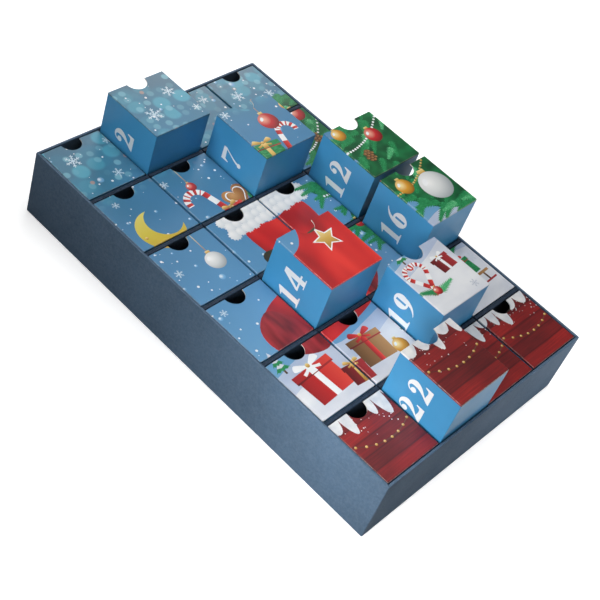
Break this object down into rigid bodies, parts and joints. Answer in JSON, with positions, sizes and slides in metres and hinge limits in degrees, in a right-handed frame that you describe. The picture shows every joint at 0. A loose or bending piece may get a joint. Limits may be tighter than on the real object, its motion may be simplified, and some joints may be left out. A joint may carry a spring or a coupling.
{
  "type": "advent calendar drawer box",
  "caption": "Shallow paper-covered case holding a grid of small numbered folded-card drawers that pull out of its front by a thumb notch.",
  "frame": {"origin": "centre of the case's back, on the surface that the case lies on", "axes": "+X across the calendar from the first column to the last, +Y up it from the last row to the first, +Z out of the drawer faces"},
  "size_m": [0.2402, 0.3742, 0.106],
  "materials": {
    "slate_paper": "matte",
    "slate_card": "matte",
    "greyboard": "matte",
    "printed_card": "satin"
  },
  "bodies": {
    "case": {"back_sheet": "slate_paper", "paper_cover": "slate_paper", "back_board": "greyboard", "left_wall": "greyboard", "right_wall": "greyboard", "bottom_wall": "greyboard", "top_wall": "greyboard", "shelf_1": "slate_card", "shelf_2": "slate_card", "shelf_3": "slate_card", "shelf_4": "slate_card", "shelf_5": "slate_card", "divider_1": "slate_card", "divider_2": "slate_card", "divider_3": "slate_card"},
    "drawer_01": {"drawer_01": "printed_card"},
    "drawer_02": {"drawer_02": "printed_card"},
    "drawer_03": {"drawer_03": "printed_card"},
    "drawer_04": {"drawer_04": "printed_card"},
    "drawer_05": {"drawer_05": "printed_card"},
    "drawer_06": {"drawer_06": "printed_card"},
    "drawer_07": {"drawer_07": "printed_card"},
    "drawer_08": {"drawer_08": "printed_card"},
    "drawer_09": {"drawer_09": "printed_card"},
    "drawer_10": {"drawer_10": "printed_card"},
    "drawer_11": {"drawer_11": "printed_card"},
    "drawer_12": {"drawer_12": "printed_card"},
    "drawer_13": {"drawer_13": "printed_card"},
    "drawer_14": {"drawer_14": "printed_card"},
    "drawer_15": {"drawer_15": "printed_card"},
    "drawer_16": {"drawer_16": "printed_card"},
    "drawer_17": {"drawer_17": "printed_card"},
    "drawer_18": {"drawer_18": "printed_card"},
    "drawer_19": {"drawer_19": "printed_card"},
    "drawer_20": {"drawer_20": "printed_card"},
    "drawer_21": {"drawer_21": "printed_card"},
    "drawer_22": {"drawer_22": "printed_card"},
    "drawer_23": {"drawer_23": "printed_card"},
    "drawer_24": {"drawer_24": "printed_card"}
  },
  "joints": [
    {"name": "slide_01", "type": "slide", "parent": "case", "child": "drawer_01", "axis": [0, 0, 1], "range_m": [0, 0.052]},
    {"name": "slide_02", "type": "slide", "parent": "case", "child": "drawer_02", "axis": [0, 0, 1], "range_m": [-0.03803, 0.01397]},
    {"name": "slide_03", "type": "slide", "parent": "case", "child": "drawer_03", "axis": [0, 0, 1], "range_m": [0, 0.052]},
    {"name": "slide_04", "type": "slide", "parent": "case", "child": "drawer_04", "axis": [0, 0, 1], "range_m": [0, 0.052]},
    {"name": "slide_05", "type": "slide", "parent": "case", "child": "drawer_05", "axis": [0, 0, 1], "range_m": [0, 0.052]},
    {"name": "slide_06", "type": "slide", "parent": "case", "child": "drawer_06", "axis": [0, 0, 1], "range_m": [0, 0.052]},
    {"name": "slide_07", "type": "slide", "parent": "case", "child": "drawer_07", "axis": [0, 0, 1], "range_m": [-0.03949, 0.01251]},
    {"name": "slide_08", "type": "slide", "parent": "case", "child": "drawer_08", "axis": [0, 0, 1], "range_m": [0, 0.052]},
    {"name": "slide_09", "type": "slide", "parent": "case", "child": "drawer_09", "axis": [0, 0, 1], "range_m": [0, 0.052]},
    {"name": "slide_10", "type": "slide", "parent": "case", "child": "drawer_10", "axis": [0, 0, 1], "range_m": [0, 0.052]},
    {"name": "slide_11", "type": "slide", "parent": "case", "child": "drawer_11", "axis": [0, 0, 1], "range_m": [0, 0.052]},
    {"name": "slide_12", "type": "slide", "parent": "case", "child": "drawer_12", "axis": [0, 0, 1], "range_m": [-0.04358, 0.00842]},
    {"name": "slide_13", "type": "slide", "parent": "case", "child": "drawer_13", "axis": [0, 0, 1], "range_m": [0, 0.052]},
    {"name": "slide_14", "type": "slide", "parent": "case", "child": "drawer_14", "axis": [0, 0, 1], "range_m": [-0.04212, 0.00988]},
    {"name": "slide_15", "type": "slide", "parent": "case", "child": "drawer_15", "axis": [0, 0, 1], "range_m": [0, 0.052]},
    {"name": "slide_16", "type": "slide", "parent": "case", "child": "drawer_16", "axis": [0, 0, 1], "range_m": [-0.04446, 0.00754]},
    {"name": "slide_17", "type": "slide", "parent": "case", "child": "drawer_17", "axis": [0, 0, 1], "range_m": [0, 0.052]},
    {"name": "slide_18", "type": "slide", "parent": "case", "child": "drawer_18", "axis": [0, 0, 1], "range_m": [0, 0.052]},
    {"name": "slide_19", "type": "slide", "parent": "case", "child": "drawer_19", "axis": [0, 0, 1], "range_m": [-0.03803, 0.01397]},
    {"name": "slide_20", "type": "slide", "parent": "case", "child": "drawer_20", "axis": [0, 0, 1], "range_m": [0, 0.052]},
    {"name": "slide_21", "type": "slide", "parent": "case", "child": "drawer_21", "axis": [0, 0, 1], "range_m": [0, 0.052]},
    {"name": "slide_22", "type": "slide", "parent": "case", "child": "drawer_22", "axis": [0, 0, 1], "range_m": [-0.04154, 0.01047]},
    {"name": "slide_23", "type": "slide", "parent": "case", "child": "drawer_23", "axis": [0, 0, 1], "range_m": [0, 0.052]},
    {"name": "slide_24", "type": "slide", "parent": "case", "child": "drawer_24", "axis": [0, 0, 1], "range_m": [0, 0.052]}
  ]
}
